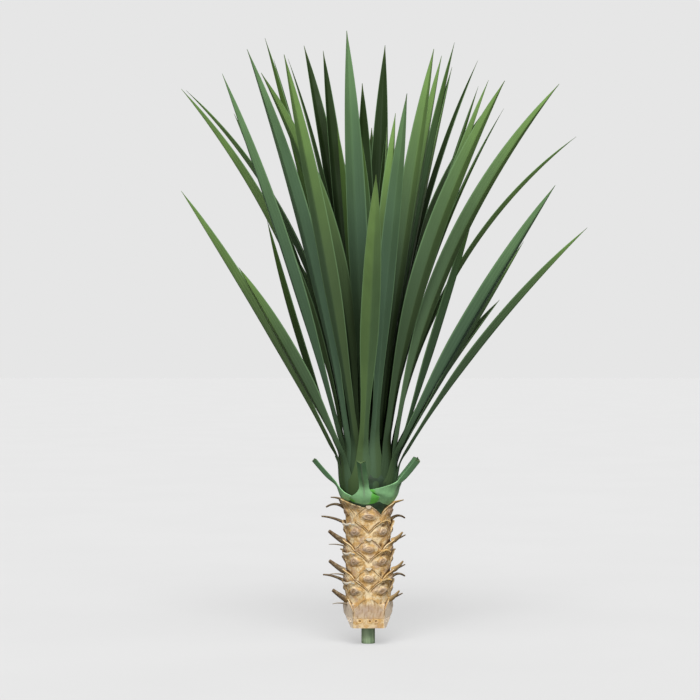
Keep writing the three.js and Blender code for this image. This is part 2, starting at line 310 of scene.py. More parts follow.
@dataclass(frozen=True)
class Finish:
    """A surface: its base colour and coats, how matt it is in places, its fine relief and its own light."""

    name: str
    base: str
    coats: tuple[Coat, ...]
    roughness: Pair
    rubbed: Cloud
    relief: Cloud | Veins
    relief_height: float
    ior: float = 1.5
    specular: float = 0.5
    glow: float = 0.0

    def material(self) -> bpy.types.Material:
        """Builds the material the first time it is asked for.

        Returns:
            The material.
        """
        made = bpy.data.materials.get(self.name)
        if made:
            return made
        made = bpy.data.materials.new(self.name)
        made.use_nodes = True
        tree = made.node_tree
        shader = tree.nodes["Principled BSDF"]
        shader.inputs["IOR"].default_value = self.ior
        shader.inputs["Specular IOR Level"].default_value = self.specular
        shader.inputs["Emission Strength"].default_value = self.glow
        colour = self.base
        for coat in self.coats:
            colour = coat.lay(tree, colour)
        settings = dict(enumerate((*CLOUD_RANGE, *self.roughness), start=1))
        rough = add_node(tree, "MapRange", settings, {0: self.rubbed.value(tree)})
        settings = {"Distance": self.relief_height * MM}
        normal = add_node(tree, "Bump", settings, {"Height": self.relief.value(tree)})
        for name, source in (("Base Color", colour), ("Roughness", rough), ("Normal", normal)):
            tree.links.new(source, shader.inputs[name])
        return made


class LeafTint(Enum):
    """Colours of a leaf in its lower part and towards its tip."""

    FRESH = ("607a49", "88aa62")
    GREEN = ("506440", "789a55")
    BLUE = ("4b634b", "6a8c5e")
    # The darkest tint is a darker copy of the same plastic: painted shade for leaves deep in the crown.
    DARK = ("324424", "4c672f")


def leaf_finish(tint: LeafTint) -> Finish:
    """Mixes the leaf plastic.

    Args:
        tint: One of its tints.

    Returns:
        The finish in that tint.
    """
    lower, upper = tint.value
    # Polyethylene, moulded: satin, greyer at the foot, browned at the tip and worn pale along both margins, its
    # inner face a darker green. Painted shade deepens that inner face to nearly black, makes one half bluer and
    # darker, and darkens the lower part of the leaves inside the crown. Real veins lie under a millimetre apart,
    # too fine to show, so fewer are drawn.
    coats = (
        Coat(upper, "along", 0.5, 0.98, 0, 1),
        Coat("3a4b2e", "along", 0.06, 0.32, 0.85, 0),
        # painted shade on one half of each leaf, bluer and darker
        Coat("465e4a", "cool", 0, 1, 0, 0.45),
        # the inner face, darker green, deepened to nearly black as painted shade
        Coat("17260a", "inner", 0.3, 0.7, 0, 0.97),
        Coat("5c6b3a", "along", 0.95, 1.0, 0, 0.45),
        Coat("83a877", "margin", 0.86, 0.97, 0, 0.42),
        Coat("141e0c", "shade", 0, 1, 0, 0.9),
        Coat("3a4d33", Cloud(34, taller=4), 0.32, 0.68, 0.2, 0),
    )
    name = f"polyethylene_with_painted_shade_{tint.name.lower()}"
    return Finish(name, lower, coats, (0.5, 0.64), Cloud(20, taller=5), Veins(7), 0.06, ior=1.51, specular=0.06)


# The same polyethylene, thicker and trimmed by hand: matt, greyer on the ridges, raw bright green in places. Its
# core is painted nearly black all over, as painted shade where it shows between the sheaths.
HEART = Finish(
    "polyethylene_trimmed", "90c48a",
    (
        Coat("5a8057", "along", 0.2, 0.75, 0, 1),
        # painted shade: the core nearly black
        Coat("22331f", "deep", 0, 1, 0, 1),
        Coat("7c8070", "ridge", 0.4, 1, 0, 0.5),
        Coat("47592f", "cut", 0, 1, 0, 1),
        Coat("5cbc34", "raw", 0.3, 0.55, 0, 0.85),
        Coat("3f5c44", Cloud(16, 3), 0.3, 0.7, 0.3, 0),
    ),
    (0.5, 0.65), Cloud(12, 3), Cloud(2.2, 2, 5), 0.25, ior=1.51, specular=0.35,
)

# Polyurethane, cast from real leaf scars and washed with brown: matt and worn pale on the edges. Its creases are
# brown deepened with painted shade, with a painted shadow below each boss; its gaps, hollows, holes, backs and
# core are painted dark as painted shade; and the foot's sides are painted pale as painted light, where the lamps
# reach them less.
TRUNK = Finish(
    "polyurethane_washed", "c09c64",
    (
        Coat("d9c7a2", Cloud(9, 3), 0.42, 0.6, 0, 0.85),
        Coat("a58b78", Cloud(13, 3), 0.5, 0.64, 0, 0.65),
        Coat("96702f", Cloud(6, 5), 0.52, 0.66, 0, 0.65),
        Coat("ab9684", "boss", 0.2, 0.9, 0, 0.65),
        # the brown of the creases, deepened as painted shade, with the painted shadow below each boss
        Coat("84602f", "crease", 0.3, 1, 0, 0.7),
        Coat("dcc494", "edge", 0.3, 1, 0, 0.5),
        # painted light: the foot's sides made pale, as the lamps reach them less
        Coat("f4e2ca", "worn", 0, 1, 0, 0.85),
        # painted shade in the gaps, hollows, holes, backs and cores
        Coat("63431b", "gap", 0.25, 1, 0, 0.9),
    ),
    (0.72, 0.9), Cloud(8, 4), Cloud(2.4, 4, 3), 0.9, specular=0.3,
)

# Dead leaf ends, moulded in brown plastic and dry-brushed: dull, with the torn rims bleached.
SPUR = Finish(
    "polyethylene_brushed", "c4a062",
    (
        Coat("5f4a30", "brown", 0, 1, 0, 1),
        Coat("8a7c62", Cloud(5, 3), 0.4, 0.65, 0, 0.7),
        Coat("c6beac", "pale", 0, 1, 0, 1),
    ),
    (0.65, 0.85), Cloud(5, 3), Cloud(1.8, 2), 0.3, ior=1.51, specular=0.3,
)

# Polypropylene tube, extruded and painted green: dull, with faint streaks up the draw.
POST = Finish(
    "polypropylene_painted", "9db28c",
    (Coat("7f9673", Cloud(3.5, 2, 14), 0.38, 0.66, 0, 1),),
    (0.45, 0.6), Cloud(6, 2, 8), Cloud(1.5, 1, 20), 0.12, ior=1.49, specular=0.3,
)

# Acrylic sheet, opal and sanded, lit from below: an even pale grey on which shadows are faint.
ACRYLIC = Finish(
    "acrylic_sanded", "848484", (Coat("828282", Cloud(400), 0.3, 0.7, 0, 1),),
    (0.9, 1.0), Cloud(300), Cloud(6, 1), 0.02, ior=1.49, specular=0.0, glow=0.45,
)


# Meshes

def add_object(name: str, data: bpy.types.ID) -> bpy.types.Object:
    """Puts something into the scene.

    Args:
        name: Its name.
        data: The mesh, light or camera.

    Returns:
        The new object.
    """
    made = bpy.data.objects.new(name, data)
    bpy.context.scene.collection.objects.link(made)
    return made


class Skin:
    """Gathers lofted bodies into one mesh, with named marks at its points for the finishes to read."""

    def __init__(self) -> None:
        """Starts with no points."""
        self.points: list[Array] = []
        self.faces: list[list[int]] = []
        self.marks: dict[str, list[Array]] = {}
        self.count = 0

    def loft(self, rings: Array, **marks: Number) -> None:
        """Adds a closed body through a row of rings, with both ends capped.

        Args:
            rings: Points in millimetres, as rings by points of a ring by 3.
            marks: Named values, each one number or one for each point of the rings.
        """
        shape = rings.shape[:2]
        whole = shape[0] * shape[1]
        ends = np.stack([rings[0].mean(axis=0), rings[-1].mean(axis=0)])
        points = np.concatenate([rings.reshape(-1, 3), ends])
        spots = np.arange(whole).reshape(shape)
        beside = np.roll(spots, -1, axis=1)
        quads = np.stack([spots[:-1], beside[:-1], beside[1:], spots[1:]], axis=-1).reshape(-1, 4)
        caps = [[whole, b, a] for a, b in zip(spots[0], beside[0])]
        caps += [[whole + 1, a, b] for a, b in zip(spots[-1], beside[-1])]
        a, b, c, d = (points[quads[:, i]] for i in range(4))
        volume = np.einsum("ij,ij->", a - points.mean(axis=0), np.cross(c - a, d - b))
        order = -1 if volume < 0 else 1
        for face in [*quads.tolist(), *caps]:
            self.faces.append([self.count + int(i) for i in face[::order]])
        self.points.append(points)
        self.count += len(points)
        for name, values in marks.items():
            spread = np.broadcast_to(values, shape).astype(float)
            at_ends = [spread[0].mean(), spread[-1].mean()]
            self.marks.setdefault(name, []).append(np.concatenate([spread.ravel(), at_ends]))

    def piece(self, name: str, finish: Finish, slot: str, node: str) -> None:
        """Makes the gathered mesh a piece of the plant.

        Args:
            name: The piece's name.
            finish: What its surface is.
            slot: The record's material slot; not used.
            node: The solid that it stands for.
        """
        mesh = bpy.data.meshes.new(name)
        mesh.from_pydata((np.concatenate(self.points) * MM).tolist(), [], self.faces)
        mesh.polygons.foreach_set("use_smooth", [True] * len(mesh.polygons))
        mesh.set_sharp_from_angle(angle=SHARP_FROM)
        for mark, values in self.marks.items():
            layer = mesh.attributes.new(mark, "FLOAT", "POINT")
            layer.data.foreach_set("value", np.concatenate(values))
        mesh.materials.append(finish.material())
        piece = add_object(name, mesh)
        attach(piece, BODY)
        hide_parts(node)
        log.info("%s: %d faces in %s", name, len(self.faces), finish.name)


# Trunk

# Points round a strip, and how much of its half width its sides curl up
STRIP_SIDES = 16
STRIP_CURL = 0.2


def add_plate(
    skin: Skin, turn: float, swing: Array, outer: Array, inner: Array, height: Array, **marks: Number
) -> None:
    """Adds a curved plate that stands round the axis.

    Args:
        skin: The mesh that it goes in.
        turn: Turn of its middle, in radians.
        swing: Turns of its points from there.
        outer: Radius of its front.
        inner: Radius of its back.
        height: Height of its rows.
        marks: What its front is marked with. Its back is painted fully dark, as painted shade.
    """
    front = place(turn + swing, outer, height)
    back = place(turn + swing, inner, height)[:, ::-1]
    plain = np.zeros_like(swing)
    sides = {}
    for name, mark in marks.items():
        sides[name] = np.concatenate([plain + mark, plain + (name == "gap")], axis=1)
    skin.loft(np.concatenate([front, back], axis=1), **sides)


def strip_rings(line: Array, width: Array, depth: Array) -> Array:
    """Gives the rings of a strip along a line, curled up a little at its sides.

    Args:
        line: Points of its middle.
        width: Half of its width at each point, as a column.
        depth: Half of its thickness there.

    Returns:
        Points as rings by points of a ring by 3.
    """
    tangent = directions(line)
    flat = unit(np.cross(tangent, UP))
    through = np.cross(flat, tangent)
    about = round_turns(STRIP_SIDES)
    side = width * np.cos(about)
    lift = depth * np.sin(about) + STRIP_CURL * width * np.cos(about) ** 2
    return line[:, None] + flat[:, None] * side[..., None] + through[:, None] * lift[..., None]


@dataclass(frozen=True)
class Spur:
    """A dried leaf end: how it leaves the tip of a scale, its size, and how bleached and how brown it is."""

    length: float
    swing: float = 0.0
    root_rise: float = 0.0
    bend: float = 0.0
    rise: float = 0.0
    width: float = 8.0
    thick: float = 3.0
    end_share: float = 0.4
    pale: float = 0.0
    brown: float = 1.0


class SpurKind(Enum):
    """The spurs that the scales carry."""

    RISING = Spur(20, root_rise=-1, bend=6, rise=14, width=12, thick=9.0, end_share=0.55)
    THIN = Spur(23, swing=14, root_rise=-8, bend=3, rise=2, width=4.5, thick=2.4, pale=0.35)
    SHORT = Spur(13, bend=3, rise=12, width=14, thick=8.0, end_share=0.3, brown=0.55)
    FORK = Spur(17, swing=10, bend=3, rise=8, width=6, thick=4.0)
    ARCHED = Spur(22, swing=6, root_rise=3, bend=8, rise=1, width=8, thick=4.6, end_share=0.5)
    HIGH = Spur(34, swing=-4, root_rise=-3, bend=8, rise=8, width=8, thick=4.6, end_share=0.5)
    HOOK = Spur(30, root_rise=-11, bend=12, rise=2, width=8, thick=5.0, end_share=0.5)
    CURL = Spur(18, root_rise=4, bend=4, rise=4, width=7, thick=4.0)
    BLADE = Spur(14, bend=2, rise=4, width=12, thick=4.0, end_share=0.35, brown=0.15)
    STUB = Spur(6, rise=1, width=7, thick=4.0, brown=0.4)
    BEAK = Spur(11, swing=58, root_rise=1, bend=4, width=8, thick=4.2, end_share=0.6, brown=0.2)
    CUT = Spur(5, root_rise=0.5, rise=0.5, width=9, thick=5.0, end_share=0.9, pale=0.55, brown=0.6)


# The spurs of a row's scales, from its first turn round: for an upper row in front, to the right, at the rear
# right, at the rear left and to the left, and for a lower row half a scale further on
SpurRow = tuple[tuple[SpurKind, ...], ...]
FORKED = (SpurKind.SHORT, SpurKind.FORK)
SPLIT = (SpurKind.RISING, SpurKind.THIN)
FOOT_ROW: SpurRow = ((), FORKED, (SpurKind.RISING,), (SpurKind.RISING,), SPLIT)
UPPER_ROW: SpurRow = ((SpurKind.CUT,), *FOOT_ROW[1:])
COLLAR_ROW: SpurRow = ((SpurKind.CUT,), (SpurKind.BLADE,), *[(SpurKind.RISING,)] * 2, (SpurKind.CURL,))
LONG_ROW: SpurRow = ((SpurKind.BEAK,), *[(SpurKind.ARCHED,)] * 2, (SpurKind.HIGH,), ())
SHORT_ROW: SpurRow = ((SpurKind.BEAK,), *[(SpurKind.STUB,)] * 3, ())


@dataclass(frozen=True)
class Ring:
    """A ring of the trunk: its solid, the heights of its upper, cut and lower tips, and the spurs of its rows."""

    node: str
    upper_tip: float
    cut_tip: float
    lower_tip: float
    upper_spurs: SpurRow
    lower_spurs: SpurRow


@dataclass
class ScalyTrunk:
    """The trunk: rows of leaf scars, each lapped over the row above it, round a core.

    A pair holds the places between which something runs, comes or goes, for the painted shadow below the boss its
    place and width, and for the spurs' roots a way out and up. Hollows are spots beside the middle of a scale and
    below its tip. A torn scale has its turn and the heights of its left and right side.
    """

    scales_per_row: int = 5
    first_turn: float = 1.0
    rings: tuple[Ring, ...] = (
        Ring("crown_collar", 209.0, 203.0, 180.5, COLLAR_ROW, LONG_ROW),
        Ring("scale_ring_upper", 154.0, 155.5, 137.5, UPPER_ROW, SHORT_ROW),
        Ring("scale_ring_lower", 111.0, 112.5, 94.5, UPPER_ROW, LONG_ROW),
    )
    foot_tip: float = 68.0
    core_top: float = 190.0
    core_radius: float = 30.2
    core_rows: int = 4
    core_columns: int = 60
    scale_height: float = 43.0
    base_radius: float = 30.8
    tip_radius: float = 35.6
    upper_flare: float = 5.0
    lower_flare: float = 2.0
    flared_part: Pair = (0.7, 1.0)
    thick: float = 2.2
    tip_half_width: float = 4.6
    shoulder: float = 17.0
    shoulder_blend: float = 4.0
    arch_power: float = 1.35
    swell: float = 1.5
    boss_place: float = 0.66
    boss_height: float = 1.9
    boss_half_width: float = 11.0
    boss_half_height: float = 7.0
    boss_fades: Pair = (0.35, 1.1)
    # The painted shadow below the boss
    shadow_crescent: Pair = (1.05, 0.2)
    shadow_crescent_comes: Pair = (0.1, 0.7)
    waver_across: Wave = Wave(1.5, across=9, shift=1)
    waver_up: Wave = Wave(1.3, across=4, up=17, shift=5)
    wrinkle_pitch: float = 4.2
    wrinkle_reach: float = 1.5
    wrinkle_height: float = 0.55
    hatch_pitch: float = 3.6
    hatch_reach: float = 9.0
    hatch_height: float = 0.3
    lip_height: float = 0.6
    lip_width: float = 1.4
    groove_depth: float = 0.8
    groove_at: float = 3.2
    groove_crease: float = 0.6
    # How the painted shade fades away from the scales that lap over it
    gap_width: float = 2.8
    gap_ends: Pair = (0.95, 1.05)
    hollow_depth: float = 1.8
    hollow_gap: float = 0.95
    hollows: tuple[Quad, ...] = ((0, 5.0, 5.5, 3.2), (0, 34.5, 3.4, 4.6))
    blunt_drop: float = 3.5
    blunt_side: Pair = (0.0, 0.3)
    torn: tuple[Triple, ...] = ((-35, 214, 199), (-107, 205, 212), (181, 208, 204), (109, 203, 209))
    torn_from: float = 176.0
    torn_radius: float = 33.0
    torn_flare: float = 12.0
    torn_flares: Pair = (192.0, 216.0)
    torn_jags: tuple[Wave, ...] = (Wave(0.6, across=17, shift=3), Wave(0.42, across=41, shift=1))
    torn_ripple: Wave = Wave(0.25, across=60, up=1 / 3)
    torn_edge: float = 2.0
    torn_gap: float = 0.5
    hook_turn: float = -107.0
    rim_swing: Pair = (4.0, -46.0)
    rim_away: float = 2.2
    rim_sag: float = 2.5
    rim_wave: Wave = Wave(0.8, across=9)
    rim_width: float = 3.8
    rim_depth_share: float = 0.6
    rim_end_power: int = 6
    rim_end_share: float = 0.9
    rim_rows: int = 24
    spur_sunk: Pair = (-3.0, -2.0)
    spur_root: Pair = (2.5, 1.0)
    spur_bend_at: float = 0.5
    spur_browns: Pair = (-0.5, 0.35)
    spur_length_sway: float = 0.08
    spur_swing_sway: float = 5.0
    spur_rows: int = 18
    rows: int = 46
    columns: int = 47

    @property
    def half_turn(self) -> float:
        """Half of a scale's turn round the trunk, in radians."""
        return math.pi / self.scales_per_row

    def turns(self, start: float) -> list[float]:
        """Gives the turns of a row's scales, in radians."""
        return [math.radians(start) + 2 * self.half_turn * i for i in range(self.scales_per_row)]

    def half_arch(self, rise: Array) -> Array:
        """Gives half of a scale's turn at each share of its height: full below, then an arch to its tip."""
        past = np.clip(1 - (1 - rise) * self.scale_height / self.shoulder, 0.0, 1.0) ** self.arch_power
        return mix(self.half_turn, self.tip_half_width / self.tip_radius, past)

    def hatch(self, away: Array, waver: Array) -> Array:
        """Gives wavering lines that run along an edge and fade with the distance from it."""
        return np.cos(away * 2 * math.pi / self.hatch_pitch + waver) * hill(away, self.hatch_reach)

    def scale(
        self, skin: Skin, turn: float, tip: float, lap: float, flare: float, hollow: bool, blunt: bool
    ) -> None:
        """Adds one scale.

        Args:
            skin: The mesh that it goes in.
            turn: Its middle, in radians.
            tip: Height of its tip.
            lap: How far below it the tips of the scales that lap over it are.
            flare: How far its tip curls out.
            hollow: Whether it has hollows, under its tip and above the tip of the scale below.
            blunt: Whether its left side is torn off level instead of arched.
        """
        rise, spread = column(self.rows), crowded(self.columns)
        arch = np.where((spread < 0) & blunt, self.half_turn, self.half_arch(rise))
        swing = arch * spread
        share = swing / self.half_turn
        beside = swing * self.tip_radius
        from_tip = (1 - rise) * self.scale_height
        upper = smoothstep(self.shoulder - from_tip, -self.shoulder_blend, self.shoulder_blend)
        tilt = mix(self.base_radius, self.tip_radius, rise) + flare * smoothstep(rise, *self.flared_part) ** 2

        # Distances from its own edge, and from the edges of the two scales that lap over its foot
        edge = (arch - np.abs(swing)) * self.tip_radius
        beyond = rise + lap / self.scale_height
        lapped = (self.half_turn - np.abs(swing) - self.half_arch(beyond)) * self.tip_radius
        gap = np.exp(-np.clip(lapped, 0, None) / self.gap_width) * fade(beyond, *self.gap_ends)

        # The boss, with wrinkles round it and a painted shadow below it
        above = (rise - self.boss_place) * self.scale_height / self.boss_half_height
        away = np.hypot(beside / self.boss_half_width, above)
        boss = fade(away, *self.boss_fades)
        shadow_crescent = band(away, *self.shadow_crescent) * smoothstep(-above, *self.shadow_crescent_comes)
        waver = self.waver_across.at(share, phase=tip) + self.waver_up.at(share, rise, turn)
        wrinkle = np.cos(away * self.boss_half_height * 2 * math.pi / self.wrinkle_pitch + waver)
        wrinkle = wrinkle * hill(away, self.wrinkle_reach)

        # What follows the edges, and the hollows
        lip = hill(edge, self.lip_width) * upper
        groove = band(edge, self.groove_at, self.lip_width) * upper
        hatch = self.hatch(edge, waver) * upper + self.hatch(lapped, waver) * (lapped > 0) * (1 - upper)
        hatch = hatch * (1 - boss)
        pit = hollow * spots(beside, from_tip, self.hollows)

        forms = (
            (self.boss_height, boss), (self.wrinkle_height, wrinkle), (self.lip_height, lip),
            (self.hatch_height, hatch), (self.swell, (1 - share**2) * upper),
            (-self.groove_depth, groove), (-self.hollow_depth, pit),
        )
        outer = tilt + sum(size * form for size, form in forms)
        # Colour marks: creases deepened as painted shade, with the painted shadow below the boss, and painted
        # shade by the lapping scales and in the hollows
        crease = np.maximum.reduce([-wrinkle, -hatch, shadow_crescent, self.groove_crease * groove])
        gap = np.maximum(gap, self.hollow_gap * pit)
        drop = blunt * self.blunt_drop * smoothstep(-spread, *self.blunt_side)
        height = tip - drop - from_tip * (1 - drop / self.scale_height)
        add_plate(skin, turn, swing, outer, tilt - self.thick, height, boss=boss, crease=crease, edge=lip, gap=gap)

    def torn_scale(self, skin: Skin, turn: float, left: float, right: float) -> None:
        """Adds what is left of a scale above the collar, torn off along a slope behind the other scales.

        Args:
            skin: The mesh that it goes in.
            turn: Its middle, in radians.
            left: Height of its torn edge at its left side.
            right: Height of its torn edge at its right side.
        """
        rise = column(self.rows)
        share = np.linspace(-1.0, 1.0, self.columns)[None, :]
        jag = sum(wave.at(share, phase=turn) for wave in self.torn_jags)
        height = mix(self.torn_from, mix(left, right, (share + 1) / 2) + jag, rise)
        outer = self.torn_radius + self.torn_flare * smoothstep(height, *self.torn_flares)
        outer = outer + self.torn_ripple.at(share, height)
        edge = hill((1 - rise) * (left - self.torn_from), self.torn_edge)
        # Painted shade, darker towards its foot
        gap = self.torn_gap * (1 - rise)
        swing = self.half_turn * share + np.zeros_like(rise)
        add_plate(skin, turn, swing, outer, outer - self.thick, height, boss=0.0, crease=0.0, edge=edge, gap=gap)

    def rim(self, skin: Skin, turn: float, tip: float) -> None:
        """Adds the bleached rim that is left along the top of a scale whose spur was torn off.

        Args:
            skin: The mesh that it goes in.
            turn: Turn of the scale, in radians.
            tip: Height of the scale's tip.
        """
        share = np.linspace(0.0, 1.0, self.rim_rows)
        height = tip - self.blunt_drop - self.rim_sag * share**2 + self.rim_wave.at(share)
        line = place(turn + np.radians(mix(*self.rim_swing, share)), self.tip_radius + self.rim_away, height)
        ends = self.rim_end_share * (2 * share - 1) ** self.rim_end_power
        half = self.rim_width / 2 * np.sqrt(1 - ends)[:, None]
        skin.loft(strip_rings(line, self.rim_depth_share * half, half), pale=1.0, brown=0.0)

    def spur(self, skin: Skin, turn: float, tip: float, flare: float, spur: Spur, sway: float) -> None:
        """Adds one spur.

        Args:
            skin: The mesh that it goes in.
            turn: Turn of its scale, in radians.
            tip: Height of its scale's tip.
            flare: How far that tip curls out.
            spur: Its sizes.
            sway: A small difference of its own, from -1 to 1.
        """
        length = spur.length * (1 + self.spur_length_sway * sway)
        way = place(turn + math.radians(spur.swing + self.spur_swing_sway * sway), 1.0, 0.0)
        start = place(turn, self.tip_radius + flare, tip + spur.root_rise) + place(turn, *self.spur_sunk)
        root = start + place(turn, *self.spur_root)
        bend = root + way * length * self.spur_bend_at + UP * spur.bend
        end = root + way * length + UP * (spur.rise + sway)
        share = np.linspace(0.0, 1.0, self.spur_rows)
        line = np.concatenate([start[None], quadratic(root, bend, end, share)])
        along = np.concatenate([[0.0], share])[:, None]
        taper = mix(1.0, spur.end_share, along) / 2
        rings = strip_rings(line, spur.width * taper, spur.thick * taper)
        skin.loft(rings, pale=spur.pale, brown=spur.brown * smoothstep(along, *self.spur_browns))

    def ring(self, number: int, draws: np.random.Generator) -> None:
        """Builds and dresses one ring: its core, two rows of scales and their spurs.

        Args:
            number: Its place from the collar down.
            draws: Source of the spurs' small differences.
        """
        ring = self.rings[number]
        next_tip = self.rings[number + 1].upper_tip if number + 1 < len(self.rings) else self.foot_tip
        scales, spurs = Skin(), Skin()
        height = mix(ring.lower_tip - self.scale_height, min(ring.cut_tip, self.core_top), column(self.core_rows))
        core = place(round_turns(self.core_columns), self.core_radius, height)
        # The core is painted dark all over, as painted shade behind the scales
        scales.loft(core, boss=0.0, crease=0.0, edge=0.0, gap=1.0)
        second_turn = self.first_turn + math.degrees(self.half_turn)
        rows = (
            (self.first_turn, ring.upper_tip, ring.lower_tip, self.upper_flare, ring.upper_spurs),
            (second_turn, ring.lower_tip, next_tip, self.lower_flare, ring.lower_spurs),
        )
        for start, row_tip, lapping_tip, row_flare, kinds in rows:
            for turn, carried in zip(self.turns(start), kinds):
                cut, blunt = SpurKind.CUT in carried, not carried
                tip = ring.cut_tip if cut else row_tip
                flare = 0.0 if cut else row_flare
                self.scale(scales, turn, tip, tip - lapping_tip, flare, SpurKind.BEAK in carried, blunt)
                for kind in carried:
                    self.spur(spurs, turn, tip, flare, kind.value, draws.uniform(-1, 1))
                if blunt:
                    self.rim(spurs, turn, tip)
        # Only the collar has torn scales above it, and a hook among them
        if number == 0:
            for turn, left, right in self.torn:
                self.torn_scale(scales, math.radians(turn), left, right)
            hook_turn = math.radians(self.hook_turn)
            self.spur(spurs, hook_turn, ring.upper_tip, 0.0, SpurKind.HOOK.value, draws.uniform(-1, 1))
        scales.piece(f"{ring.node}_scales", TRUNK, "trunk", ring.node)
        spurs.piece(f"{ring.node}_spurs", SPUR, "trunk", ring.node)

    def build(self) -> None:
        """Builds the rings from the collar down."""
        draws = np.random.default_rng(SEED)
        for number in range(len(self.rings)):
            self.ring(number, draws)


@dataclass
class TrunkFoot:
    """The foot: a five-sided taper with a grained panel on each side and moulded pinholes in its ledge.

    A bevel has its turn and its distance from the axis at the bottom and at the shoulder. The panels' boss and the
    holes' rim have their place and width.
    """

    trunk: ScalyTrunk
    bottom: float = 25.5
    shoulder: float = 44.0
    ledge: float = 38.5
    ledge_round: float = 1.5
    ledge_gap: float = 0.7
    ledge_line: float = 1.0
    flat_radius: float = 31.0
    least_facing: float = 0.3
    bevels: tuple[Triple, ...] = ((-89, 26.0, 35.0), (91, 26.0, 35.0), (181, 25.5, 33.3))
    inset: float = 1.2
    top: float = 60.0
    body_crease: float = 0.6
    panel_above_ledge: float = 0.8
    panel_sunk: float = 0.4
    panel_rise: float = 3.6
    panel_thick: float = 3.0
    panel_share: float = 0.96
    panel_lip: float = 0.5
    panel_edge: float = 0.7
    panel_boss: Pair = (0.35, 0.5)
    grain: Wave = Wave(1.0, across=46, up=1, shift=7)
    grain_bend: Wave = Wave(1.6, up=1 / 5)
    coarse_grain: Wave = Wave(0.7, across=17, up=1 / 3.1)
    grain_height: float = 0.16
    grain_crease: float = 0.7
    # Where the painted light that makes the foot's sides pale comes in
    worn_turns: Pair = (math.radians(34), math.radians(40))
    hole_turns: Triple = (-22.0, 4.0, 20.0)
    hole_height: float = 35.5
    hole_radius: float = 1.5
    hole_depth: float = 1.6
    hole_soft: float = 0.8
    hole_rim: Pair = (1.6, 0.6)
    hole_rim_rise: float = 0.4
    hole_rim_edge: float = 0.8
    rows: int = 74
    columns: int = 360
    panel_rows: int = 44
    panel_columns: int = 61

    def sides(self, turn: Array, height: Array) -> Array:
        """Gives the radius of the many-sided foot.

        Args:
            turn: Turns in radians.
            height: Heights.

        Returns:
            The radius at each turn and height.
        """
        lean = np.clip((height - self.bottom) / (self.shoulder - self.bottom), 0, 1)
        flats = [(at, self.flat_radius) for at in self.trunk.turns(self.trunk.first_turn)]
        flats += [(math.radians(at), mix(low, high, lean)) for at, low, high in self.bevels]
        radius = np.full(np.broadcast(turn, height).shape, np.inf)
        for at, away in flats:
            radius = np.minimum(radius, away / np.maximum(np.cos(turn - at), self.least_facing))
        return radius

    def worn(self, turn: Array) -> Array:
        """Gives how much painted light makes the foot pale at each turn: none in front."""
        return smoothstep(np.abs(turn), *self.worn_turns)

    def body(self, skin: Skin) -> None:
        """Adds the body below and behind the panels, with its ledge and holes.

        Args:
            skin: The mesh that it goes in.
        """
        height = mix(self.bottom, self.top, column(self.rows))
        turn = round_turns(self.columns)
        radius = self.sides(turn, height)
        radius = radius - self.inset * smoothstep(height, self.ledge, self.ledge + self.ledge_round)
        holes, rims = np.zeros_like(radius), np.zeros_like(radius)
        for hole in self.hole_turns:
            for at in self.trunk.turns(hole):
                away = (turn - at + math.pi) % (2 * math.pi) - math.pi
                reach = np.hypot(away * self.flat_radius, height - self.hole_height) / self.hole_radius
                holes = np.maximum(holes, hill(reach, self.hole_soft))
                rims = np.maximum(rims, band(reach, *self.hole_rim))
        radius = radius - self.hole_depth * holes + self.hole_rim_rise * rims
        # Painted shade in the holes and along a line under the panels, and painted light on the sides
        under_panels = band(height, self.ledge + self.panel_above_ledge, self.ledge_line)
        skin.loft(
            place(turn, radius, height), boss=0.0, crease=self.body_crease, edge=self.hole_rim_edge * rims,
            worn=self.worn(turn), gap=np.maximum(holes, self.ledge_gap * under_panels),
        )

    def panel(self, skin: Skin, turn: float) -> None:
        """Adds one grained panel, whose arched top laps over the lowest scales.

        Args:
            skin: The mesh that it goes in.
            turn: Its middle, in radians.
        """
        trunk = self.trunk
        rise = column(self.panel_rows)
        height = mix(self.ledge + self.panel_above_ledge, trunk.foot_tip, rise)
        arch = trunk.half_arch(1 - (trunk.foot_tip - height) / trunk.scale_height) * self.panel_share
        swing = arch * crowded(self.panel_columns)
        surface = self.sides(turn + swing, height) + self.panel_rise * rise - self.panel_sunk
        grain = self.grain.at(swing, self.grain_bend.at(0.0, height), turn) + self.coarse_grain.at(swing, height)
        lip = hill((arch - np.abs(swing)) * trunk.tip_radius, trunk.lip_width)
        outer = surface + self.grain_height * grain + self.panel_lip * lip
        # The sides get painted light that makes them pale, except on the lip
        add_plate(
            skin, turn, swing, outer, surface - self.panel_thick, height,
            boss=band(rise, *self.panel_boss),
            crease=self.grain_crease * np.clip(-grain, 0, 1), edge=self.panel_edge * lip,
            worn=self.worn(turn + swing) * (1 - lip), gap=0.0,
        )

    def build(self) -> None:
        """Builds the taper with its panels, and the spurs that they carry."""
        draws = np.random.default_rng(SEED)
        skin, spurs = Skin(), Skin()
        self.body(skin)
        for turn, carried in zip(self.trunk.turns(self.trunk.first_turn), FOOT_ROW):
            self.panel(skin, turn)
            for kind in carried:
                self.trunk.spur(spurs, turn, self.trunk.foot_tip, 0.0, kind.value, draws.uniform(-1, 1))
        skin.piece("trunk_foot_panels", TRUNK, "trunk", "trunk_foot")
        spurs.piece("trunk_foot_spurs", SPUR, "trunk", "trunk_foot")


@dataclass
class PlantingPost:
    """The post: a plain tube with a small chamfer at its foot."""

    radius: float = 10.0
    top: float = 60.0
    chamfer: float = 0.5
    rows: int = 12
    columns: int = 72

    def build(self) -> None:
        """Builds the post from its flat foot up into the trunk."""
        skin = Skin()
        height = np.concatenate([[0.0], np.linspace(self.chamfer, self.top, self.rows)])[:, None]
        radius = self.radius - self.chamfer * (height <= 0)
        skin.loft(place(round_turns(self.columns), radius, height))
        skin.piece("post_tube", POST, "post", "planting_post")


# Crown

